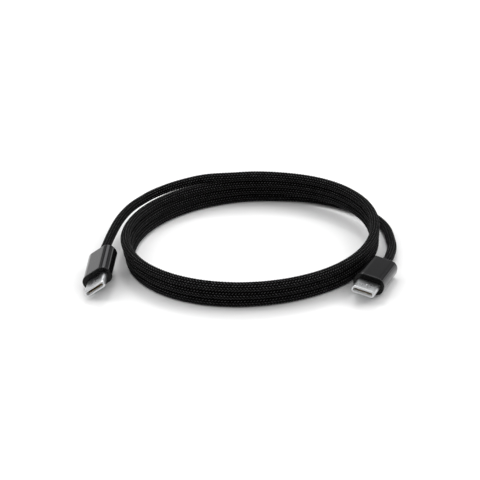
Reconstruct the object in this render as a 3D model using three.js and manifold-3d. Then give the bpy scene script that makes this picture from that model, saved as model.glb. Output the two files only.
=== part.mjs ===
// Charging cable with a USB-C plug at each end, lying in a flat coil of three and a half turns.
// Millimetres, +Z up. The origin is on the table, under the middle of the two plugs.
import * as THREE from 'three';
import { mergeVertices } from 'three/addons/utils/BufferGeometryUtils.js';
import Module from 'manifold-3d';

const wasm = await Module();
wasm.setup();

// ---------------------------------------------------------------- driving dimensions

const CABLE_DIAMETER = 3.2;
const CABLE_RADIUS = CABLE_DIAMETER / 2;
const CORD_GAP = 0.3; // between a length of cord and what it meets
const FIT = 0.1; // clearance between pieces that touch inside a plug
const THROUGH = 0.5; // how far a cutter runs past the face it opens

// The coil: strands stacked on each other, four high at the back and three elsewhere.
// Angles in the coil run clockwise seen from above, and start at its left end (-X).
const COIL = {
  centre: [3.5, 28.2],
  radius: 42.0, // to the middle of the lowest strand
  oval: 2.2, // how much longer and shorter the two diagonals are than the radius
  spread: 0.6, // how far the strands wander to each side of a straight stack
  strandPitch: 3.03, // height from one strand to the next
  lean: [-0.18, -0.17], // sideways shift of the stack per millimetre of height
  joinAngles: [45, 75], // where the top strand climbs on to the stack
  dropAngles: [120, 230], // where every strand steps down a level
  segments: 44,
};

// One plug, drawn along Y: its tip points to -Y and the cable leaves at +Y.
// Y is 0 at the front face of the black cap, which stops against the socket.
const SHELL = { width: 8.25, height: 2.4, tip: -6.65, rear: 4.0, wall: 0.3, lip: 0.35 };
const MOUTH = { width: 6.7, height: 0.95 };
const CAP = { width: 10.8, height: 6.3, corner: 2.75, flange: 0.6, rear: 3.2 };
const SLEEVE = { width: 10.5, height: 6.15, corner: 2.7, rear: 16.7, wall: 0.55, endWall: 1.0 };
const CORE_CORNER = SLEEVE.corner - SLEEVE.wall; // rounding of what fills the sleeve

const CARRIER = { front: -6.2, rear: 1.4, slotEnd: -0.8 };
const CONTACT = { count: 12, pitch: 0.5, width: 0.25, thickness: 0.12, height: 0.45 };
const CONTACT_TAIL = 5.2; // where a contact ends, over the circuit board
const BUMP = { from: -3.6, at: -4.5, to: -5.3, dip: 0.15 }; // the sprung bend that touches
const POCKET = { halfWidth: 3.0, low: 0.36, high: 0.66, front: -5.7 }; // room for one row
const WAFER = { halfWidth: 3.5, front: 1.5, rear: 3.6, low: 0.2 };
const LATCH = { halfWidth: 3.55, arm: 0.25, thickness: 0.2, front: -4.2, hook: 0.3, hookLength: 0.7 };
const BOARD = { width: 6.0, thickness: 0.7, front: 3.8, rear: 9.6 };
const MOULD = { front: 3.3, step: 4.4, boardEnd: 11.6, rear: 12.6, cavityWidth: 6.6, cavityHeight: 3.2 };
const WIRE_BORE = 3.4; // opening of the mould that the wires leave by
const SOLDER_LENGTH = 1.4; // how much of a wire lies on the board
const WIRE_BEND = 0.5; // how far from the board's edge a wire starts and ends its bend
const CABLE_END = 12.9; // where the jacket is cut back inside the plug
const FERRULE = { front: 13.1, rear: 14.2, wall: 0.35 };
const BUSH = { front: 14.4, outer: 4.7 };

// Wires: [name, radius, place in the cable's end (x, z), place on the board (x, side)]
const WIRES = [
  ['power', 0.42, [-0.8, 0.1], [-1.9, 1]],
  ['ground', 0.42, [0.8, 0.1], [1.9, 1]],
  ['cc', 0.25, [0.0, 0.85], [0.0, 1]],
  ['data_plus', 0.25, [-0.4, -0.8], [-0.9, -1]],
  ['data_minus', 0.25, [0.4, -0.8], [0.9, -1]],
];

// Where each plug lies: the middle of its front face, then how it is turned in degrees.
// Heading turns the tip away from -Y towards -X, pitch lowers the tip, roll lowers the +X side.
const PLUG_POSES = {
  left: { at: [-48.5, -3.1, 4.67], heading: 3.7, pitch: 2.5, roll: -37.0 },
  right: { at: [42.9, -6.3, 4.44], heading: 20.2, pitch: -3.1, roll: 10.2 },
};

// The middle of the cord where it isn't coiled, from each plug to the coil.
const LEFT_LEAD = [
  [-47.1, 17.5, 5.6],
  [-46.5, 21.4, 5.8],
  [-45.5, 27.7, 6.1],
  [-44.4, 33.3, 6.4],
  [-43.2, 38.1, 6.8],
  [-41.6, 42.9, 7.1],
  [-38.8, 48.6, 7.6],
  [-35.5, 53.1, 8.0],
  [-32.1, 56.7, 8.5],
  [-28.5, 59.6, 8.9],
  [-25.4, 61.5, 9.3],
];
const RIGHT_LEAD = [
  [50.7, 15.0, 3.2],
  [51.8, 19.8, 2.7],
  [52.6, 24.5, 2.1],
  [53.0, 29.2, 1.6],
  [52.7, 35.0, 1.6],
  [52.1, 41.0, 1.6],
  [50.9, 45.6, 1.6],
  [48.9, 50.2, 1.6],
  [44.8, 56.2, 1.6],
  [39.6, 61.0, 1.6],
];

const MATERIALS = {
  braid: { color: 0x17171a, roughness: 0.9, metalness: 0.0 },
  aluminium: { color: 0x3a3b3e, roughness: 0.35, metalness: 0.9 },
  blackPlastic: { color: 0x121214, roughness: 0.55, metalness: 0.0 },
  steel: { color: 0xc6c8cb, roughness: 0.25, metalness: 1.0 },
  carrier: { color: 0x202022, roughness: 0.6, metalness: 0.0 },
  contacts: { color: 0xc9a24a, roughness: 0.3, metalness: 1.0 },
  board: { color: 0x1c5a34, roughness: 0.5, metalness: 0.0 },
  mould: { color: 0xd8d8d2, roughness: 0.6, metalness: 0.0 },
  rubber: { color: 0x1a1a1a, roughness: 0.85, metalness: 0.0 },
  power: { color: 0xb02020, roughness: 0.5, metalness: 0.0 },
  ground: { color: 0x111111, roughness: 0.5, metalness: 0.0 },
  cc: { color: 0x2450a0, roughness: 0.5, metalness: 0.0 },
  data_plus: { color: 0x2a8a3a, roughness: 0.5, metalness: 0.0 },
  data_minus: { color: 0xe6e6e6, roughness: 0.5, metalness: 0.0 },
};

// ---------------------------------------------------------------- shared shape functions

function toManifold(geometry) {
  const bare = geometry.clone();
  bare.deleteAttribute('normal');
  bare.deleteAttribute('uv');
  const merged = mergeVertices(bare, 1e-4);
  return new wasm.Manifold(new wasm.Mesh({
    numProp: 3,
    vertProperties: new Float32Array(merged.attributes.position.array),
    triVerts: new Uint32Array(merged.index.array),
  }));
}

function toGeometry(manifold) {
  const { vertProperties, triVerts } = manifold.getMesh();
  const geometry = new THREE.BufferGeometry();
  geometry.setAttribute('position', new THREE.BufferAttribute(vertProperties, 3));
  geometry.setIndex(new THREE.BufferAttribute(triVerts, 1));
  geometry.computeVertexNormals();
  return geometry;
}

function cut(geometry, ...cutters) {
  return toGeometry(cutters.reduce((left, c) => left.subtract(toManifold(c)), toManifold(geometry)));
}

function join(...geometries) {
  return toGeometry(geometries.map(toManifold).reduce((sum, part) => sum.add(part)));
}

// A rectangle with round corners, centred, in the plane across the plug.
function roundedRectangle(width, height, corner) {
  const [x, y] = [width / 2 - corner, height / 2 - corner];
  const shape = new THREE.Shape();
  shape.absarc(x, y, corner, 0, Math.PI / 2);
  shape.absarc(-x, y, corner, Math.PI / 2, Math.PI);
  shape.absarc(-x, -y, corner, Math.PI, 1.5 * Math.PI);
  shape.absarc(x, -y, corner, 1.5 * Math.PI, 2 * Math.PI);
  return shape;
}

// A slot shape with half-round ends.
function stadium(width, height) {
  const shape = new THREE.Shape();
  shape.absarc(width / 2 - height / 2, 0, height / 2, -Math.PI / 2, Math.PI / 2);
  shape.absarc(-width / 2 + height / 2, 0, height / 2, Math.PI / 2, 1.5 * Math.PI);
  return shape;
}

function circle(radius) {
  return new THREE.Shape().absarc(0, 0, radius, 0, 2 * Math.PI);
}

// A section across the plug, run along it from one Y to another.
function prism(section, from, to, curveSegments = 6) {
  const geometry = new THREE.ExtrudeGeometry(section, {
    depth: to - from,
    bevelEnabled: false,
    curveSegments,
  });
  return geometry.rotateX(Math.PI / 2).translate(0, to, 0);
}

// A box between two corners.
function block(low, high) {
  const size = high.map((value, i) => value - low[i]);
  const middle = high.map((value, i) => (value + low[i]) / 2);
  return new THREE.BoxGeometry(...size).translate(...middle);
}

// A round section run along a curve through the points.
function tube(points, radius, sides, steps) {
  const ring = [];
  for (let i = 0; i < sides; i += 1) {
    const angle = (2 * Math.PI * (i + 0.5)) / sides;
    ring.push(new THREE.Vector2(radius * Math.cos(angle), radius * Math.sin(angle)));
  }
  const path = new THREE.CatmullRomCurve3(points.map((p) => new THREE.Vector3(...p)));
  return new THREE.ExtrudeGeometry(new THREE.Shape(ring), { extrudePath: path, steps });
}

function part(name, geometry, materialName) {
  const mesh = new THREE.Mesh(geometry, new THREE.MeshStandardMaterial(MATERIALS[materialName]));
  mesh.name = name;
  return mesh;
}

// ---------------------------------------------------------------- plug, outside

// Deep-drawn steel tube that enters the socket, folded in at the tip to a narrower mouth.
function steelShell() {
  const { width, height, tip, rear, wall, lip } = SHELL;
  const outside = prism(stadium(width, height), tip, rear);
  const inside = prism(stadium(width - 2 * wall, height - 2 * wall), tip + lip, rear + THROUGH);
  const mouth = prism(stadium(MOUTH.width, MOUTH.height), tip - THROUGH, tip + lip + THROUGH);
  return cut(outside, inside, mouth);
}

// Black front cap: a flange that closes the sleeve, and a boss behind it that fills the sleeve.
function frontCap() {
  const { width, height, corner, flange, rear } = CAP;
  const flangePlate = prism(roundedRectangle(width, height, corner), 0, flange);
  const boss = prism(coreSection(), flange - FIT, rear);
  const shellHole = stadium(SHELL.width + 2 * FIT, SHELL.height + 2 * FIT);
  return cut(join(flangePlate, boss), prism(shellHole, -THROUGH, rear + THROUGH));
}

// The section that fills the inside of the sleeve.
function coreSection() {
  const inset = 2 * (SLEEVE.wall + FIT);
  return roundedRectangle(SLEEVE.width - inset, SLEEVE.height - inset, CORE_CORNER - FIT);
}

// Drawn aluminium sleeve, open at the front, with a round hole for the cable at the rear.
function aluminiumSleeve() {
  const { width, height, corner, rear, wall, endWall } = SLEEVE;
  const front = CAP.flange + FIT;
  const inside = roundedRectangle(width - 2 * wall, height - 2 * wall, CORE_CORNER);
  return cut(
    prism(roundedRectangle(width, height, corner), front, rear, 8),
    prism(inside, front - THROUGH, rear - endWall, 8),
    prism(circle(CABLE_RADIUS + CORD_GAP), rear - endWall - THROUGH, rear + THROUGH),
  );
}

// ---------------------------------------------------------------- plug, inside the steel shell

// Moulded insulator with the slot that the socket's tongue enters, and room for both contact rows.
function contactCarrier() {
  const { front, rear, slotEnd } = CARRIER;
  const inset = 2 * (SHELL.wall + FIT);
  const body = prism(stadium(SHELL.width - inset, SHELL.height - inset), front, rear);
  const slot = prism(stadium(MOUTH.width, MOUTH.height - FIT), front - THROUGH, slotEnd);
  const rowPocket = block(
    [-POCKET.halfWidth, POCKET.front, POCKET.low],
    [POCKET.halfWidth, rear + THROUGH, POCKET.high],
  );
  const otherPocket = rowPocket.clone().rotateY(Math.PI);
  const latchRoom = LATCH.thickness / 2 + FIT;
  const latchSlot = block(
    [-LATCH.halfWidth - FIT, LATCH.front - FIT, -latchRoom],
    [LATCH.halfWidth + FIT, rear + THROUGH, latchRoom],
  );
  return cut(body, slot, rowPocket, otherPocket, latchSlot);
}

// One row of sprung contacts, moulded into a plastic wafer that holds them at their spacing.
function contactWafer() {
  const { thickness, height, pitch, count, width } = CONTACT;
  const low = height;
  const high = height + thickness;
  const side = new THREE.Shape([
    new THREE.Vector2(CONTACT_TAIL, low),
    new THREE.Vector2(CONTACT_TAIL, high),
    new THREE.Vector2(BUMP.from, high),
    new THREE.Vector2(BUMP.at, high - BUMP.dip),
    new THREE.Vector2(BUMP.to, high),
    new THREE.Vector2(BUMP.to, low),
    new THREE.Vector2(BUMP.at, low - BUMP.dip),
    new THREE.Vector2(BUMP.from, low),
  ]);
  // The profile's x runs along the plug, its y up, and its depth across the plug.
  const turn = new THREE.Matrix4().makeBasis(
    new THREE.Vector3(0, 1, 0),
    new THREE.Vector3(0, 0, 1),
    new THREE.Vector3(1, 0, 0),
  );
  const top = SHELL.height / 2 - SHELL.wall - FIT;
  const slope = top - 2 * FIT; // the wafer's corners clear the shell's round sides
  const pieces = [
    block([-WAFER.halfWidth + slope, WAFER.front, WAFER.low], [WAFER.halfWidth - slope, WAFER.rear, top]),
  ];
  for (let i = 0; i < count; i += 1) {
    const x = (i - (count - 1) / 2) * pitch - width / 2;
    const contact = new THREE.ExtrudeGeometry(side, { depth: width, bevelEnabled: false });
    pieces.push(contact.applyMatrix4(turn).translate(x, 0, 0));
  }
  return join(...pieces);
}

// Sprung side latches: one flat U of sheet, whose two arms end in hooks that grip the tongue.
function latchPlate() {
  const { halfWidth, arm, thickness, front, hook, hookLength } = LATCH;
  const inner = halfWidth - arm;
  const web = WAFER.front + FIT;
  const outline = [
    [halfWidth, WAFER.rear],
    [-halfWidth, WAFER.rear],
    [-halfWidth, front],
    [-inner, front],
    [-inner + hook, front + hookLength / 2],
    [-inner, front + hookLength],
    [-inner, web],
    [inner, web],
    [inner, front + hookLength],
    [inner - hook, front + hookLength / 2],
    [inner, front],
    [halfWidth, front],
  ];
  const shape = new THREE.Shape(outline.map((p) => new THREE.Vector2(...p)));
  const plate = new THREE.ExtrudeGeometry(shape, { depth: thickness, bevelEnabled: false });
  return plate.translate(0, 0, -thickness / 2);
}

// ---------------------------------------------------------------- plug, inside the sleeve

function circuitBoard() {
  const { width, thickness, front, rear } = BOARD;
  return block([-width / 2, front, -thickness / 2], [width / 2, rear, thickness / 2]);
}

// A part soldered on top of the board, given by its middle and its size.
function boardPart([x, y], [width, length, height]) {
  const foot = BOARD.thickness / 2 + FIT;
  return block(
    [x - width / 2, y - length / 2, foot],
    [x + width / 2, y + length / 2, foot + height],
  );
}

// Plastic moulded round the shell's rear, the board and the wires, which fills the sleeve.
function innerMould() {
  const { front, step, boardEnd, rear, cavityWidth, cavityHeight } = MOULD;
  const shellHole = stadium(SHELL.width + 2 * FIT, SHELL.height + 2 * FIT);
  const cavity = roundedRectangle(cavityWidth, cavityHeight, CORD_GAP);
  return cut(
    prism(coreSection(), front, rear),
    prism(shellHole, front - THROUGH, step),
    prism(cavity, step - THROUGH, boardEnd, 1),
    prism(circle(WIRE_BORE / 2), boardEnd - THROUGH, rear + THROUGH),
  );
}

// One insulated wire, from its place on the board to its place in the cable's cut end.
function wire(radius, [endX, endZ], [boardX, side]) {
  const boardZ = side * (BOARD.thickness / 2 + FIT + radius);
  const boardEdge = BOARD.rear;
  const bendEnd = MOULD.boardEnd;
  return tube([
    [boardX, boardEdge - SOLDER_LENGTH, boardZ],
    [boardX, boardEdge - WIRE_BEND, boardZ],
    [boardX, boardEdge + WIRE_BEND / 2, boardZ],
    [(boardX + endX) / 2, (boardEdge + bendEnd) / 2, (boardZ + endZ) / 2],
    [endX, bendEnd - FIT, endZ],
    [endX, CABLE_END - FIT, endZ],
  ], radius, 6, 10);
}

function ring(outerRadius, innerRadius, from, to) {
  return cut(
    prism(circle(outerRadius), from, to, 10),
    prism(circle(innerRadius), from - THROUGH, to + THROUGH, 10),
  );
}

function plug(end) {
  const group = new THREE.Group();
  const boreRadius = CABLE_RADIUS + FIT;
  const bushRear = SLEEVE.rear - SLEEVE.endWall - FIT;
  const lowerWafer = contactWafer().rotateY(Math.PI);
  group.add(
    part(`aluminium_sleeve_${end}`, aluminiumSleeve(), 'aluminium'),
    part(`front_cap_${end}`, frontCap(), 'blackPlastic'),
    part(`steel_shell_${end}`, steelShell(), 'steel'),
    part(`contact_carrier_${end}`, contactCarrier(), 'carrier'),
    part(`upper_contacts_${end}`, contactWafer(), 'contacts'),
    part(`lower_contacts_${end}`, lowerWafer, 'contacts'),
    part(`latch_plate_${end}`, latchPlate(), 'steel'),
    part(`circuit_board_${end}`, circuitBoard(), 'board'),
    part(`inner_mould_${end}`, innerMould(), 'mould'),
    part(`crimp_ferrule_${end}`, ring(boreRadius + FERRULE.wall, boreRadius, FERRULE.front, FERRULE.rear), 'steel'),
    part(`rear_bush_${end}`, ring(BUSH.outer / 2, boreRadius, BUSH.front, bushRear), 'rubber'),
    part(`cable_end_${end}`, prism(circle(CABLE_RADIUS), CABLE_END, SLEEVE.rear, 8), 'braid'),
  );
  for (const [name, radius, inCable, onBoard] of WIRES) {
    group.add(part(`wire_${name}_${end}`, wire(radius, inCable, onBoard), name));
  }
  const { at, heading, pitch, roll } = PLUG_POSES[end];
  group.position.set(...at);
  group.rotation.set(
    THREE.MathUtils.degToRad(pitch),
    THREE.MathUtils.degToRad(roll),
    THREE.MathUtils.degToRad(-heading),
    'ZXY',
  );
  return group;
}

// ---------------------------------------------------------------- cord

// The cord between a plug and the coil. It starts a little clear of the plug's rear face.
function lead(plugGroup, points) {
  plugGroup.updateMatrix();
  const start = new THREE.Vector3(0, SLEEVE.rear + CORD_GAP, 0).applyMatrix4(plugGroup.matrix);
  const route = [start.toArray(), ...points];
  const length = new THREE.CatmullRomCurve3(route.map((p) => new THREE.Vector3(...p))).getLength();
  return tube(route, CABLE_RADIUS, 8, Math.round(length / (2.5 * CABLE_DIAMETER)));
}

// The coil's outer shape: a turned ring, then settled to the way that its strands lie.
function coilRing() {
  const { radius, spread, strandPitch, segments } = COIL;
  const half = CABLE_RADIUS + spread;
  const height = CABLE_DIAMETER + 3 * strandPitch;
  const edge = CABLE_RADIUS / 2;
  const profile = [
    [radius - half + edge, 0],
    [radius + half - edge, 0],
    [radius + half, edge],
    [radius + half, height - edge],
    [radius + half - edge, height],
    [radius - half + edge, height],
    [radius - half, height - edge],
    [radius - half, edge],
    [radius - half + edge, 0],
  ].map((p) => new THREE.Vector2(...p));
  const geometry = new THREE.LatheGeometry(profile, segments).rotateX(Math.PI / 2);
  const position = geometry.attributes.position;
  for (let i = 0; i < position.count; i += 1) {
    position.setXYZ(i, ...settled(position.getX(i), position.getY(i), position.getZ(i)));
  }
  return geometry;
}

// Moves a point of the round, upright ring to where the oval, leaning coil has it.
function settled(x, y, z) {
  const { centre, radius, oval, strandPitch, lean, joinAngles, dropAngles } = COIL;
  const turn = (THREE.MathUtils.radToDeg(Math.atan2(y, -x)) + 360) % 360;
  const stretch = 1 - (oval / radius) * Math.sin(2 * THREE.MathUtils.degToRad(turn));
  const climbed = THREE.MathUtils.smoothstep(turn, ...joinAngles);
  const dropped = THREE.MathUtils.smoothstep(turn, ...dropAngles);
  const fullHeight = CABLE_DIAMETER + 3 * strandPitch;
  const height = CABLE_DIAMETER + (2 + climbed * (1 - dropped)) * strandPitch;
  const settledZ = (z * height) / fullHeight;
  return [
    centre[0] + x * stretch + lean[0] * settledZ,
    centre[1] + y * stretch + lean[1] * settledZ,
    settledZ,
  ];
}

// ---------------------------------------------------------------- assembly

const cable = new THREE.Group();
const leftPlug = plug('left');
const rightPlug = plug('right');

// The left plug's circuit board carries the chip that states what the cable can carry.
leftPlug.add(
  part('marker_chip_left', boardPart([0, 7.1], [1.7, 1.7, 0.5]), 'blackPlastic'),
  part('resistor_left', boardPart([2.1, 7.0], [0.5, 1.0, 0.35]), 'blackPlastic'),
);

cable.add(
  leftPlug,
  rightPlug,
  part('cable_coil', coilRing(), 'braid'),
  part('cable_lead_left', lead(leftPlug, LEFT_LEAD), 'braid'),
  part('cable_lead_right', lead(rightPlug, RIGHT_LEAD), 'braid'),
);

export default cable;
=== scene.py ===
"""Charging cable with a braided cord and a USB-C plug at each end, lying in a flat coil.

Places and sizes in the tables below are in millimetres unless a line says otherwise.
They become metres where a mesh is made.
"""

import math

import bpy
import numpy as np
from mathutils import Matrix, Vector


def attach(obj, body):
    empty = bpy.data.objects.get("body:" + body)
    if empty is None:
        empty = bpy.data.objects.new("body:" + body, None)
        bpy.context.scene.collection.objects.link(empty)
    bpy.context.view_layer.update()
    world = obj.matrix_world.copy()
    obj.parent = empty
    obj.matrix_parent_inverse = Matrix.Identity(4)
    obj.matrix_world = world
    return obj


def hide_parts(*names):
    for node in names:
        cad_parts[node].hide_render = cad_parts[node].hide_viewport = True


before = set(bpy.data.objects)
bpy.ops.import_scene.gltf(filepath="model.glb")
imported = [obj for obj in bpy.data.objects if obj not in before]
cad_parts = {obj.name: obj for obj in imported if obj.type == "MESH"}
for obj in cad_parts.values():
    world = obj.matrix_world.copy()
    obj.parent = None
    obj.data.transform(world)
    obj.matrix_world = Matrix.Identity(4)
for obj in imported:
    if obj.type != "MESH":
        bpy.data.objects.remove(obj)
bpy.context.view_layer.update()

MM = 0.001
ENDS = ("left", "right")

# ---------------------------------------------------------------- sizes

CORD_DIAMETER = 3.2

# One plug lies along Y: its tip points to -Y, and Y is 0 at the front face of its black cap.
SLEEVE = {
    "width": 10.5,
    "height": 6.15,
    "corner": 2.7,
    "front": 0.7,
    "rear": 16.7,
    "wall": 0.55,
    "end_wall": 1.0,
}
CABLE_HOLE = 1.9  # radius
CAP = {"width": 10.8, "height": 6.3, "corner": 2.75, "flange": 0.6, "rear": 3.2}
SHELL = {"width": 8.25, "height": 2.4, "tip": -6.65, "rear": 4.0, "wall": 0.3, "lip": 0.35}
# The short raised seam on top of the shell.
SEAM = {"half_width": 0.15, "tip_end": -2.7, "rear_end": -0.3, "height": 0.06}
FIT = 0.1  # left free between a piece and the one inside it
STRAIGHT = 0.01  # half of what stays straight at the ends of an outline that is fully round otherwise
JACKET_END = 12.9  # where the cord's jacket is cut back inside the plug
CORD_PAST_SLEEVE = 0.3  # how far behind the sleeve the cord stays in line with the plug

# The middle of each front face, then how the plug is turned in degrees.
PLUG_POSES = {
    "left": {"at": (-48.5, -3.1, 4.67), "heading": 3.7, "pitch": 2.5, "roll": -37.0},
    "right": {"at": (42.9, -6.3, 4.44), "heading": 20.2, "pitch": -3.1, "roll": 10.2},
}

# The middle of the cord from the left plug to where it lies on the coil.
LEFT_LEAD = (
    (-47.1, 17.5, 5.6),
    (-46.5, 21.4, 5.8),
    (-45.5, 27.7, 6.1),
    (-44.4, 33.3, 6.4),
    (-43.2, 38.1, 6.8),
    (-41.6, 42.9, 7.1),
    (-38.8, 48.6, 7.6),
    (-35.5, 53.1, 8.0),
    (-32.1, 56.7, 8.5),
    (-28.5, 59.6, 8.9),
    (-25.4, 61.5, 9.3),
    (-22.0, 63.2, 9.7),
    (-18.4, 64.6, 10.1),
    (-14.8, 65.6, 10.5),
    (-9.4, 66.5, 10.8),
    (-3.6, 67.2, 10.8),
)
# The middle of the cord from the coil to the right plug.
RIGHT_LEAD = (
    (21.9, 69.2, 1.72),
    (29.4, 67.1, 1.7),
    (37.6, 62.7, 1.7),
    (44.8, 56.2, 1.7),
    (48.9, 50.2, 1.7),
    (50.9, 45.6, 1.7),
    (52.1, 41.0, 1.7),
    (52.7, 35.0, 1.7),
    (53.0, 29.2, 1.75),
    (52.6, 24.5, 2.1),
    (51.8, 19.8, 2.7),
    (50.7, 15.0, 3.2),
)

# The coil. Angles run clockwise seen from above, start at its left end and count on from turn to turn.
COIL = {
    "centre": (3.7, 27.5),
    "radius": 42.1,
    "pitch": 3.12,  # between the middles of two strands that touch
    "first_angle": 90,
    "last_angle": 1185,
    "angle_step": 15,
    "drop_starts": (120, 480, 840),  # where the cord steps down to the next level
    "drop_length": 110,
}
# How the lowest level departs from that circle, and how far each level stands out from the one below it.
# For each number of waves round the coil: the cosine and the sine part.
OUTLINE = {1: (-0.5, 0.62), 2: (0.45, -2.68), 3: (0.0, -0.2), 4: (-0.15, 0.0)}
LEAN = {0: (0.25, 0.0), 1: (0.4, -0.48), 2: (0.23, 0.34), 3: (0.0, 0.15)}

# The braid: twelve yarns each way, over two and under two.
BRAID_SIDES = 24
BRAID_PERIOD = 1.05  # along the cord
BRAID_RELIEF = 0.16  # from the valleys between the yarns to their crowns
FLOOR_GAP = 0.01  # below the crowns, so that none goes into the floor
FLOOR_HEIGHT = (CORD_DIAMETER + BRAID_RELIEF) / 2 + FLOOR_GAP  # of the middle of a cord on the floor

# The camera looks at a point on the floor.
CAMERA_TARGET = (-0.31, 36.91, 0.0)
CAMERA_DISTANCE = 0.8  # metres
CAMERA_ELEVATION = 26  # degrees
CAMERA_LENS = 169.3
CAMERA_SENSOR = 36.0

# In metres.
FLOOR_HALF_SIDE = 3.0
LIGHT_TARGET = (0.0, 0.03, 0.0)


# ---------------------------------------------------------------- camera


def make_camera():
    data = bpy.data.cameras.new("camera")
    data.lens = CAMERA_LENS
    data.sensor_width = CAMERA_SENSOR
    data.clip_start = 0.05
    data.clip_end = 20.0
    camera = bpy.data.objects.new("camera", data)
    target = Vector(CAMERA_TARGET) * MM
    elevation = math.radians(CAMERA_ELEVATION)
    back = Vector((0.0, -math.cos(elevation), math.sin(elevation)))
    camera.location = target + back * CAMERA_DISTANCE
    camera.rotation_mode = "QUATERNION"
    camera.rotation_quaternion = (-back).to_track_quat("-Z", "Y")
    bpy.context.scene.collection.objects.link(camera)
    bpy.context.scene.camera = camera


# ---------------------------------------------------------------- shape functions


def add_piece(name, vertices, faces, material, replaced):
    """A new piece of the object, made in the row frame in metres."""
    mesh = bpy.data.meshes.new(name)
    mesh.from_pydata([tuple(v) for v in vertices], [], [tuple(f) for f in faces])
    mesh.materials.append(material)
    mesh.validate()
    piece = bpy.data.objects.new(name, mesh)
    bpy.context.scene.collection.objects.link(piece)
    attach(piece, "root")
    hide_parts(*replaced)
    return piece


def plug_matrix(end):
    """From a plug's own millimetres to the row frame in metres."""
    pose = PLUG_POSES[end]
    turn = (
        Matrix.Rotation(math.radians(-pose["heading"]), 4, "Z")
        @ Matrix.Rotation(math.radians(pose["pitch"]), 4, "X")
        @ Matrix.Rotation(math.radians(pose["roll"]), 4, "Y")
    )
    return Matrix.Scale(MM, 4) @ Matrix.Translation(pose["at"]) @ turn


def in_plug(end, points):
    """Points given in a plug's own millimetres, moved to the row frame in metres."""
    matrix = np.array(plug_matrix(end))
    return np.asarray(points, float) @ matrix[:3, :3].T + matrix[:3, 3]


# How many steps an outline takes round a corner and along its long and short sides.
CORNER_STEPS, LONG_STEPS, SHORT_STEPS = 12, 30, 3


def outline(width, height, corner, inset=0.0):
    """A rectangle with round corners in the plane across a plug, as x and z, drawn inset by some distance."""
    half_x, half_z, radius = width / 2 - inset, height / 2 - inset, corner - inset
    x, z = half_x - radius, half_z - radius
    points = []
    for number, (cx, cz) in enumerate(((x, z), (-x, z), (-x, -z), (x, -z))):
        start = number * math.pi / 2
        for step in range(CORNER_STEPS + 1):
            angle = start + step * math.pi / 2 / CORNER_STEPS
            points.append((cx + radius * math.cos(angle), cz + radius * math.sin(angle)))
        ends = ((-x, half_z), (-half_x, -z), (x, -half_z), (half_x, z))[number]
        steps = LONG_STEPS if number % 2 == 0 else SHORT_STEPS
        last = points[-1]
        for step in range(1, steps):
            share = step / steps
            along_x = last[0] + (ends[0] - last[0]) * share
            along_z = last[1] + (ends[1] - last[1]) * share
            points.append((along_x, along_z))
    return np.array(points)


def round_hole(like, radius):
    """A circle with one point for each point of another outline, in the same direction."""
    lengths = np.linalg.norm(like, axis=1, keepdims=True)
    return like / lengths * radius


def between(first, second, share):
    return first + (second - first) * share


def arc(share):
    """How far along and how far in a quarter-round edge is, both from 0 to 1."""
    angle = share * math.pi / 2
    return math.sin(angle), 1 - math.cos(angle)


def closed_loft(rings):
    """Vertices and faces of a hollow body.

    Its rings, (y, outline) each, run along its wall's outside and inside, and the last one joins the first.
    """
    count = len(rings[0][1])
    vertices = [(x, y, z) for y, line in rings for x, z in line]
    faces = []
    for ring in range(len(rings)):
        following = (ring + 1) % len(rings)
        for i in range(count):
            j = (i + 1) % count
            here, there = ring * count, following * count
            faces.append((here + i, here + j, there + j, there + i))
    return np.array(vertices), faces


def smooth(piece, sharp_angle=35):
    """Smooth shading, with creases where faces meet at more than an angle in degrees."""
    piece.data.polygons.foreach_set("use_smooth", [True] * len(piece.data.polygons))
    piece.data.set_sharp_from_angle(angle=math.radians(sharp_angle))
    weighted = piece.modifiers.new("even normals", "WEIGHTED_NORMAL")
    weighted.keep_sharp = True


# ---------------------------------------------------------------- materials


def new_material(name, colour, roughness, metallic=0.0):
    """A material with its Principled shader, and the node tree to work on."""
    material = bpy.data.materials.new(name)
    material.use_nodes = True
    tree = material.node_tree
    shader = next(n for n in tree.nodes if n.type == "BSDF_PRINCIPLED")
    shader.inputs["Base Color"].default_value = (*colour, 1)
    shader.inputs["Roughness"].default_value = roughness
    shader.inputs["Metallic"].default_value = metallic
    return material, tree, shader


def maths(tree, operation, first, second=None, third=None):
    node = tree.nodes.new("ShaderNodeMath")
    node.operation = operation
    for socket, value in zip(node.inputs, (first, second, third)):
        if isinstance(value, (int, float)):
            socket.default_value = value
        elif value is not None:
            tree.links.new(value, socket)
    return node.outputs[0]


def remap(tree, value, low, high, to_low, to_high):
    node = tree.nodes.new("ShaderNodeMapRange")
    tree.links.new(value, node.inputs["Value"])
    for name, number in (("From Min", low), ("From Max", high), ("To Min", to_low), ("To Max", to_high)):
        node.inputs[name].default_value = number
    return node.outputs["Result"]


def ramp(tree, value, *stops):
    """Colours along a value, as (place, (r, g, b)) stops."""
    node = tree.nodes.new("ShaderNodeValToRGB")
    tree.links.new(value, node.inputs["Fac"])
    elements = node.color_ramp.elements
    while len(elements) < len(stops):
        elements.new(0.5)
    for element, (place, colour) in zip(elements, stops):
        element.position = place
        element.color = (*colour, 1)
    return node.outputs["Color"]


def noise(tree, scale_per_metre, detail, stretch=(1, 1, 1)):
    """Noise fixed to the piece, stretched along its axes."""
    place = tree.nodes.new("ShaderNodeTexCoord")
    mapping = tree.nodes.new("ShaderNodeMapping")
    mapping.inputs["Scale"].default_value = stretch
    texture = tree.nodes.new("ShaderNodeTexNoise")
    texture.inputs["Scale"].default_value = scale_per_metre
    texture.inputs["Detail"].default_value = detail
    tree.links.new(place.outputs["Object"], mapping.inputs["Vector"])
    tree.links.new(mapping.outputs["Vector"], texture.inputs["Vector"])
    return texture.outputs["Fac"]


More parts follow.
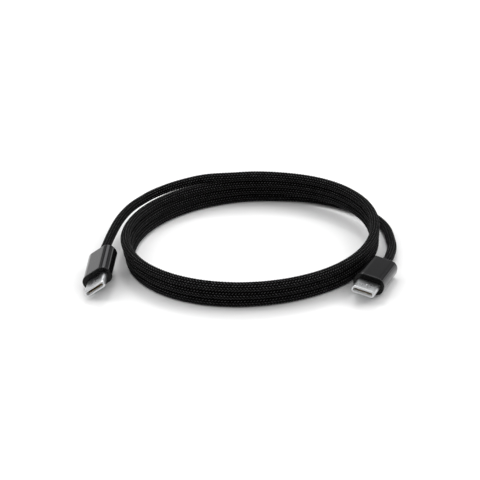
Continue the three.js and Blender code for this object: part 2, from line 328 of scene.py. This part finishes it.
def bump(tree, shader, height, distance, strength=1.0):
    node = tree.nodes.new("ShaderNodeBump")
    node.inputs["Strength"].default_value = strength
    node.inputs["Distance"].default_value = distance
    tree.links.new(height, node.inputs["Height"])
    tree.links.new(node.outputs["Normal"], shader.inputs["Normal"])


def grained(
    name,
    colour,
    roughness,
    metallic,
    grain,
    spread,
    depth=0.00001,
    stretch=(1, 1, 1),
    specular=0.5,
):
    """A material whose colour and roughness vary with a fine grain, and which has a slight relief.

    The grain is in noise cells per metre, the spread is a share of the colour, and the depth is in metres.
    """
    material, tree, shader = new_material(name, colour, roughness, metallic)
    shader.inputs["Specular IOR Level"].default_value = specular
    fine = noise(tree, grain, 4.0, stretch)
    broad = noise(tree, grain / 12, 2.0)
    both = maths(tree, "ADD", maths(tree, "MULTIPLY", fine, 0.5), maths(tree, "MULTIPLY", broad, 0.5))
    darker = tuple(c * (1 - spread) for c in colour)
    lighter = tuple(min(1.0, c * (1 + spread)) for c in colour)
    tree.links.new(ramp(tree, both, (0.3, darker), (0.7, lighter)), shader.inputs["Base Color"])
    rough = remap(tree, broad, 0.3, 0.7, roughness * 0.85, min(1.0, roughness * 1.2))
    tree.links.new(rough, shader.inputs["Roughness"])
    bump(tree, shader, fine, depth)
    return material


def braid_material():
    """Black nylon yarn, with a painted highlight on each float's crown and painted shade in the valleys
    between the yarns. The UV map runs once round the cord, and along it in braid periods.
    """
    material, tree, shader = new_material("black_braid", (0.014, 0.014, 0.015), 0.5)
    shader.inputs["Sheen Weight"].default_value = 0.02
    shader.inputs["Sheen Roughness"].default_value = 0.35
    shader.inputs["Specular IOR Level"].default_value = 0.03
    uv = tree.nodes.new("ShaderNodeUVMap")
    uv.uv_map = "braid"
    split = tree.nodes.new("ShaderNodeSeparateXYZ")
    tree.links.new(uv.outputs["UV"], split.inputs["Vector"])
    around = maths(tree, "MULTIPLY", split.outputs["X"], BRAID_SIDES / 2)
    along = split.outputs["Y"]
    one_way = maths(tree, "SUBTRACT", around, along)
    other_way = maths(tree, "ADD", around, along)
    # A wale is a column of crowns, two sides wide. Which way's yarn lies on top alternates by pairs of sides.
    wale = maths(tree, "FRACT", maths(tree, "ADD", around, 0.25))
    pair = maths(tree, "FRACT", maths(tree, "ADD", maths(tree, "MULTIPLY", around, 0.5), 0.125))
    is_other = maths(tree, "GREATER_THAN", pair, 0.5)
    top = tree.nodes.new("ShaderNodeMix")  # its number sockets A and B are 2 and 3
    tree.links.new(is_other, top.inputs["Factor"])
    tree.links.new(one_way, top.inputs[2])
    tree.links.new(other_way, top.inputs[3])
    across = top.outputs[0]
    from_edge = maths(tree, "SUBTRACT", maths(tree, "FRACT", across), 0.5)
    crown = maths(tree, "MULTIPLY", maths(tree, "ABSOLUTE", from_edge), 2.0)
    middle = maths(tree, "PINGPONG", maths(tree, "MULTIPLY", wale, 2.0), 1.0)
    # Painted light: lightest at the middle of each float's crown and darkest in the valleys, standing in for
    # highlights on the crowns and shade between the yarns.
    painted_crown_light = maths(tree, "MULTIPLY", crown, maths(tree, "MULTIPLY_ADD", middle, 0.7, 0.3))
    filaments_in_yarn = 6
    filament = maths(tree, "SINE", maths(tree, "MULTIPLY", across, 2 * math.pi * filaments_in_yarn))
    loose = noise(tree, 900, 2.0)
    unevenness = maths(tree, "MULTIPLY", maths(tree, "SUBTRACT", loose, 0.5), 0.5)
    painted_light_and_unevenness = maths(tree, "ADD", painted_crown_light, unevenness)
    # The dark stop is painted shade in the valleys and the light stop is a painted highlight on the crowns.
    # The noise adds a real, random unevenness of tone.
    dark, light = (0.0003, 0.0003, 0.0003), (0.13, 0.13, 0.134)
    tree.links.new(ramp(tree, painted_light_and_unevenness, (0.5, dark), (0.95, light)), shader.inputs["Base Color"])
    tree.links.new(remap(tree, loose, 0.3, 0.7, 0.5, 0.72), shader.inputs["Roughness"])
    relief = maths(tree, "ADD", crown, maths(tree, "MULTIPLY", filament, 0.12))
    bump(tree, shader, relief, 0.00003, 0.6)
    return material


def sleeve_material():
    """Aluminium with a dark anodised, glossy surface and a very fine grain."""
    return grained("anodised_aluminium", (0.038, 0.038, 0.04), 0.07, 0.9, 9000, 0.12, 0.0000002)


def cap_material():
    """Glossy black plastic."""
    return grained(
        "black_plastic", (0.002, 0.002, 0.0021), 0.25, 0.0, 7000, 0.3, 0.000003, specular=0.16
    )


def shell_material():
    """Nickel plate, with the fine lines that drawing the tube leaves along it."""
    return grained("nickel_plated_steel", (0.58, 0.59, 0.6), 0.3, 1.0, 3000, 0.06, 0.0000015, (1, 0.12, 1))


def board_material():
    """Green solder mask over the weave of the glass cloth."""
    material, tree, shader = new_material("circuit_board", (0.01, 0.09, 0.035), 0.4)
    weave = noise(tree, 5000, 2.0, (1, 0.3, 1))
    colours = ramp(tree, weave, (0.35, (0.006, 0.06, 0.022)), (0.65, (0.016, 0.12, 0.05)))
    tree.links.new(colours, shader.inputs["Base Color"])
    tree.links.new(remap(tree, weave, 0.3, 0.7, 0.3, 0.5), shader.inputs["Roughness"])
    bump(tree, shader, weave, 0.00002)
    return material


# ---------------------------------------------------------------- cord


def smoothstep(low, high, value):
    share = min(max((value - low) / (high - low), 0.0), 1.0)
    return share * share * (3 - 2 * share)


def waves(angle, parts):
    """A sum of waves round the coil, from a table like OUTLINE."""
    total = 0
    for number, (cosine, sine) in parts.items():
        total += cosine * math.cos(number * angle) + sine * math.sin(number * angle)
    return total


def coil_point(degrees):
    """The middle of the cord at an angle round the coil."""
    angle = math.radians(degrees)
    drops = [smoothstep(start, start + COIL["drop_length"], degrees) for start in COIL["drop_starts"]]
    above = len(drops) - sum(drops)  # levels above the lowest
    lean = waves(angle, LEAN)
    radius = COIL["radius"] + waves(angle, OUTLINE) + lean * above
    height = FLOOR_HEIGHT + above * math.sqrt(COIL["pitch"] ** 2 - lean**2)
    x, y = COIL["centre"]
    return x - radius * math.cos(angle), y + radius * math.sin(angle), height


def natural_spline(points, steps_each):
    """Points along the smooth curve through the given ones."""
    points = np.asarray(points, float)
    knots = np.concatenate(([0.0], np.cumsum(np.linalg.norm(np.diff(points, axis=0), axis=1))))
    gaps = np.diff(knots)
    slopes = np.diff(points, axis=0) / gaps[:, None]
    count = len(points)
    system = np.eye(count)
    wanted = np.zeros((count, 3))
    for i in range(1, count - 1):
        system[i, i - 1 : i + 2] = gaps[i - 1], 2 * (gaps[i - 1] + gaps[i]), gaps[i]
        wanted[i] = 6 * (slopes[i] - slopes[i - 1])
    bends = np.linalg.solve(system, wanted)
    curve = []
    for i, gap in enumerate(gaps):
        t = np.linspace(0, gap, steps_each, endpoint=False)[:, None]
        start = slopes[i] - gap * (2 * bends[i] + bends[i + 1]) / 6
        change = (bends[i + 1] - bends[i]) / (6 * gap)
        curve.append(points[i] + start * t + bends[i] / 2 * t**2 + change * t**3)
    return np.vstack((*curve, points[-1:]))


def evenly(curve, step):
    """Points along a curve, an equal distance apart that is close to step."""
    along = np.concatenate(([0.0], np.cumsum(np.linalg.norm(np.diff(curve, axis=0), axis=1))))
    wanted = np.linspace(0, along[-1], round(along[-1] / step) + 1)
    return np.stack([np.interp(wanted, along, curve[:, i]) for i in range(3)], axis=1)


def cord_route():
    """The middle of the cord from plug to plug, in metres, one point for each ring of the braid."""
    inside = (JACKET_END + SLEEVE["rear"]) / 2
    jacket = [(0, y, 0) for y in (JACKET_END, inside, SLEEVE["rear"] + CORD_PAST_SLEEVE)]
    angles = range(COIL["first_angle"], COIL["last_angle"] + 1, COIL["angle_step"])
    points = [
        *in_plug("left", jacket) / MM,
        *LEFT_LEAD,
        *(coil_point(angle) for angle in angles),
        *RIGHT_LEAD,
        *in_plug("right", jacket[::-1]) / MM,
    ]
    return evenly(natural_spline(points, steps_each=40), BRAID_PERIOD / 2) * MM


def ring_directions(route, first_up):
    """For each point of a route, two directions across it that don't twist along the way."""
    tangents = np.gradient(route, axis=0)
    tangents /= np.linalg.norm(tangents, axis=1, keepdims=True)
    up = np.array(first_up, float)
    ups = []
    for tangent in tangents:
        up = up - tangent * (up @ tangent)
        up /= np.linalg.norm(up)
        ups.append(up)
    ups = np.array(ups)
    return ups, np.cross(tangents, ups)


def braid_faces(rings):
    """Triangles between the rings of points, split along the yarn that lies on top there."""
    faces = []
    for ring in range(rings - 1):
        for side in range(BRAID_SIDES):
            here = ring * BRAID_SIDES + side
            beside = ring * BRAID_SIDES + (side + 1) % BRAID_SIDES
            ahead, both = here + BRAID_SIDES, beside + BRAID_SIDES
            column = side % 4  # the weave repeats every four sides
            along_first = column == 0 or (column != 2 and (ring + side) % 2 == 1)
            if along_first:
                faces += [(here, beside, both), (here, both, ahead)]
            else:
                faces += [(here, beside, ahead), (beside, both, ahead)]
    return faces


def make_cord():
    """The braided cord, with a flat face at each end, and the route of its middle."""
    route = cord_route()
    rings = len(route)
    ups, sides = ring_directions(route, np.array(plug_matrix("left"))[:3, 2] / MM)
    ring, side = np.meshgrid(np.arange(rings), np.arange(BRAID_SIDES), indexing="ij")
    radius = (CORD_DIAMETER / 2 + BRAID_RELIEF * (0.5 - (ring + side) % 2)) * MM
    angle = side * 2 * math.pi / BRAID_SIDES
    across = ups[:, None, :] * np.cos(angle)[..., None] + sides[:, None, :] * np.sin(angle)[..., None]
    vertices = (route[:, None, :] + across * radius[..., None]).reshape(-1, 3)
    faces = braid_faces(rings)
    ends = len(vertices)
    vertices = np.vstack((vertices, route[:1], route[-1:]))
    last = (rings - 1) * BRAID_SIDES
    for i in range(BRAID_SIDES):
        j = (i + 1) % BRAID_SIDES
        faces += [(ends, j, i), (ends + 1, last + i, last + j)]
    cord = add_piece(
        "braided_cord",
        vertices,
        faces,
        braid_material(),
        ["cable_coil", *(f"cable_{part}_{end}" for part in ("lead", "end") for end in ENDS)],
    )
    add_braid_uv(cord.data, rings)
    return cord, route


def add_braid_uv(mesh, rings):
    """U runs once round the cord, and V counts braid periods along it."""
    layer = mesh.uv_layers.new(name="braid")
    corners = np.zeros(len(mesh.loops), int)
    mesh.loops.foreach_get("vertex_index", corners)
    corners = corners.reshape(-1, 3)
    around = (corners % BRAID_SIDES) / BRAID_SIDES
    wraps = (around.max(1) - around.min(1)) > 0.5
    around[wraps] += around[wraps] < 0.5
    along = (corners // BRAID_SIDES) / 2
    flat_end = corners.max(1) >= rings * BRAID_SIDES
    around[flat_end] = 0
    along[flat_end] = 0
    layer.data.foreach_set("uv", np.stack((around, along), axis=2).ravel())


# ---------------------------------------------------------------- plug


def make_sleeve(end, material):
    s = SLEEVE
    size = (s["width"], s["height"], s["corner"])
    edge, rear_edge = 0.12, 0.3  # radii of the rounded edges
    hole = round_hole(outline(*size), CABLE_HOLE)
    wide_hole = round_hole(outline(*size), CABLE_HOLE + edge)
    flat = outline(*size, rear_edge)
    rings = []
    for share in (0, 0.5, 1):
        along, inward = arc(share)
        rings.append((s["front"] + edge * (1 - along), outline(*size, edge * inward)))
    for share in (0.5, 1):
        along, inward = arc(share)
        rings.append((s["front"] + edge * inward, outline(*size, s["wall"] - edge + edge * along)))
    inside = outline(*size, s["wall"])
    end_wall = s["rear"] - s["end_wall"]
    for share in (0, 0.3, 0.7, 1):
        rings.append((end_wall, between(inside, hole, share)))
    rings.append((s["rear"] - edge, hole))
    rings.append((s["rear"], wide_hole))
    for share in (0.35, 0.7, 0.96, 1):
        rings.append((s["rear"], between(wide_hole, flat, share)))
    for share in (0.8, 0.6, 0.4, 0.2, 0):
        along, inward = arc(share)
        rings.append((s["rear"] - rear_edge * (1 - along), outline(*size, rear_edge * inward)))
    near_rear, near_front = 0.5, 0.3
    for y in (s["rear"] - near_rear, (s["front"] + s["rear"]) / 2, s["front"] + near_front):
        rings.append((y, outline(*size)))
    vertices, faces = closed_loft(rings)
    piece = add_piece(
        f"sleeve_{end}", in_plug(end, vertices), faces, material, [f"aluminium_sleeve_{end}"]
    )
    smooth(piece)
    return piece


def make_cap(end, material):
    c = CAP
    size = (c["width"], c["height"], c["corner"])
    hole_corner = SHELL["height"] / 2 + FIT - 2 * STRAIGHT
    hole = outline(SHELL["width"] + 2 * FIT, SHELL["height"] + 2 * FIT, hole_corner)
    inset = 2 * (SLEEVE["wall"] + FIT)
    boss_corner = SLEEVE["corner"] - SLEEVE["wall"] - FIT
    boss = outline(SLEEVE["width"] - inset, SLEEVE["height"] - inset, boss_corner)
    edge, rear_edge, chamfer = 0.28, 0.1, 0.12
    face = outline(*size, edge)
    rings = [(c["rear"], hole), (chamfer, hole)]
    for share in (0.06, 0.5, 0.97):
        rings.append((0.0, between(hole, face, share)))
    for share in (1, 0.8, 0.6, 0.4, 0.2, 0):
        along, inward = arc(share)
        rings.append((edge * (1 - along), outline(*size, edge * inward)))
    for share in (0, 0.5, 1):
        along, inward = arc(share)
        rings.append((c["flange"] - rear_edge * (1 - along), outline(*size, rear_edge * inward)))
    rings.append((c["flange"], boss))
    rings.append((c["rear"], boss))
    vertices, faces = closed_loft(rings)
    faces = [face[::-1] for face in faces]
    piece = add_piece(
        f"cap_{end}", in_plug(end, vertices), faces, material, [f"front_cap_{end}"]
    )
    smooth(piece)
    return piece


def make_shell(end, material):
    s = SHELL
    top = s["height"] / 2
    size = (s["width"], s["height"], top - STRAIGHT)
    edge, mouth_inset, step = 0.3, 0.72, 0.02
    rings = [(s["rear"], outline(*size))]
    for y in (0.4, -0.2, -0.35, -0.6, -1.2, -1.8, -2.4, -2.65, -2.8, -4.0, -5.5):
        rings.append((y, outline(*size)))
    for share in (0, 0.2, 0.4, 0.6, 0.8, 1):
        along, inward = arc(share)
        rings.append((s["tip"] + edge * (1 - along), outline(*size, edge * inward)))
    # The lip folds in from the tip to the mouth, and ends in a small step out to the wall's inside.
    for depth, inset in ((0.02, 0.45), (0.07, 0.6), (0.16, 0.69), (s["lip"], mouth_inset)):
        rings.append((s["tip"] + depth, outline(*size, inset)))
    rings.append((s["tip"] + s["lip"] + step, outline(*size, s["wall"])))
    rings.append((s["rear"], outline(*size, s["wall"])))
    vertices, faces = closed_loft(rings)
    faces = [face[::-1] for face in faces]
    tolerance = 0.01
    on_top = vertices[:, 2] > top - tolerance
    in_middle = abs(vertices[:, 0]) < SEAM["half_width"]
    along_seam = (vertices[:, 1] < SEAM["rear_end"]) & (vertices[:, 1] > SEAM["tip_end"])
    vertices[on_top & in_middle & along_seam, 2] += SEAM["height"]
    piece = add_piece(
        f"shell_{end}", in_plug(end, vertices), faces, material, [f"steel_shell_{end}"]
    )
    smooth(piece, sharp_angle=50)
    return piece


def make_plugs():
    """Both plugs' outer pieces, by end."""
    makers = (
        (make_sleeve, sleeve_material()),
        (make_cap, cap_material()),
        (make_shell, shell_material()),
    )
    return {end: [make(end, material) for make, material in makers] for end in ENDS}


def finish_cad_nodes():
    """Materials for the pieces inside the plugs, which stay as the CAD has them."""
    black = (0.015, 0.015, 0.016)
    # Each has a name, colour, roughness, metal share, grain and spread, and some have a depth.
    finishes = {
        "contact_carrier": grained("insulator", (0.85, 0.85, 0.84), 0.5, 0.0, 6000, 0.06),
        "upper_contacts": grained("gold_plate", (0.8, 0.56, 0.2), 0.25, 1.0, 5000, 0.12),
        "lower_contacts": grained("gold_plate_lower", (0.8, 0.56, 0.2), 0.25, 1.0, 5000, 0.12),
        "latch_plate": grained("spring_steel", (0.62, 0.62, 0.6), 0.3, 1.0, 3000, 0.1),
        "crimp_ferrule": grained("crimped_brass", (0.66, 0.6, 0.46), 0.35, 1.0, 2500, 0.15, 0.00003),
        "circuit_board": board_material(),
        "inner_mould": grained("moulded_plastic", (0.72, 0.71, 0.66), 0.5, 0.0, 1500, 0.07, 0.00001),
        "rear_bush": grained("black_rubber", black, 0.8, 0.0, 3000, 0.3, 0.00002),
        "marker_chip": grained("chip_package", black, 0.55, 0.0, 9000, 0.25, 0.000005),
        "resistor": grained("resistor_body", (0.03, 0.03, 0.032), 0.35, 0.0, 9000, 0.3, 0.000005),
        "wire_power": grained("red_insulation", (0.42, 0.02, 0.015), 0.4, 0.0, 1200, 0.12),
        "wire_ground": grained("black_insulation", black, 0.4, 0.0, 1200, 0.2),
        "wire_cc": grained("blue_insulation", (0.02, 0.07, 0.36), 0.4, 0.0, 1200, 0.12),
        "wire_data_plus": grained("green_insulation", (0.02, 0.25, 0.05), 0.4, 0.0, 1200, 0.12),
        "wire_data_minus": grained("white_insulation", (0.75, 0.75, 0.72), 0.4, 0.0, 1200, 0.06),
    }
    for name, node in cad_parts.items():
        finish = finishes.get(name.rsplit("_", 1)[0])
        if finish:
            node.data.materials.clear()
            node.data.materials.append(finish)


# ---------------------------------------------------------------- floor and light


def make_floor():
    half = FLOOR_HALF_SIDE
    corners = [(-half, -half, 0), (half, -half, 0), (half, half, 0), (-half, half, 0)]
    mesh = bpy.data.meshes.new("floor")
    mesh.from_pydata(corners, [], [(0, 1, 2, 3)])
    material, _, shader = new_material("white_floor", (0.9, 0.9, 0.9), 0.9)
    shader.inputs["Specular IOR Level"].default_value = 0.0
    mesh.materials.append(material)
    floor = bpy.data.objects.new("floor", mesh)
    bpy.context.scene.collection.objects.link(floor)


def make_world():
    """A studio with bright panels near the horizon, halfway up and overhead, dark gaps and a dim front."""
    world = bpy.data.worlds.new("studio")
    world.use_nodes = True
    tree = world.node_tree
    background = tree.nodes["Background"]
    direction = tree.nodes.new("ShaderNodeTexCoord")
    split = tree.nodes.new("ShaderNodeSeparateXYZ")
    tree.links.new(direction.outputs["Generated"], split.inputs["Vector"])
    # Brightness by how steeply a direction points up: 0 is the horizon and 1 the zenith.
    low = [(0.0, 1.0), (0.1, 0.95), (0.2, 1.0), (0.23, 0.1), (0.26, 0.1), (0.3, 0.38), (0.4, 0.38)]
    high = [(0.44, 0.2), (0.5, 0.2), (0.515, 1.8), (0.55, 1.8), (0.58, 0.5), (0.8, 1.6)]
    greys = [(place, (value, value, value)) for place, value in low + high]
    tree.links.new(ramp(tree, split.outputs["Z"], *greys), background.inputs["Color"])
    tree.links.new(remap(tree, split.outputs["Y"], -0.8, 0.3, 0.34, 1.02), background.inputs["Strength"])
    bpy.context.scene.world = world


def add_light(name, place, size, power):
    data = bpy.data.lights.new(name, "AREA")
    data.shape = "RECTANGLE"
    data.size, data.size_y = size
    data.energy = power
    light = bpy.data.objects.new(name, data)
    light.location = place
    light.rotation_mode = "QUATERNION"
    light.rotation_quaternion = (Vector(LIGHT_TARGET) - Vector(place)).to_track_quat("-Z", "Y")
    bpy.context.scene.collection.objects.link(light)


def make_lights():
    add_light("key", (0.0, 0.6, 0.72), (0.18, 0.18), 1.4)
    add_light("left_side", (-0.7, 0.0, 0.6), (0.5, 0.5), 2.0)
    add_light("right_side", (0.7, 0.1, 0.6), (0.5, 0.5), 2.0)


make_camera()
cord, route = make_cord()
plugs = make_plugs()
finish_cad_nodes()
make_floor()
make_world()
make_lights()
bpy.context.scene.view_settings.view_transform = "Standard"
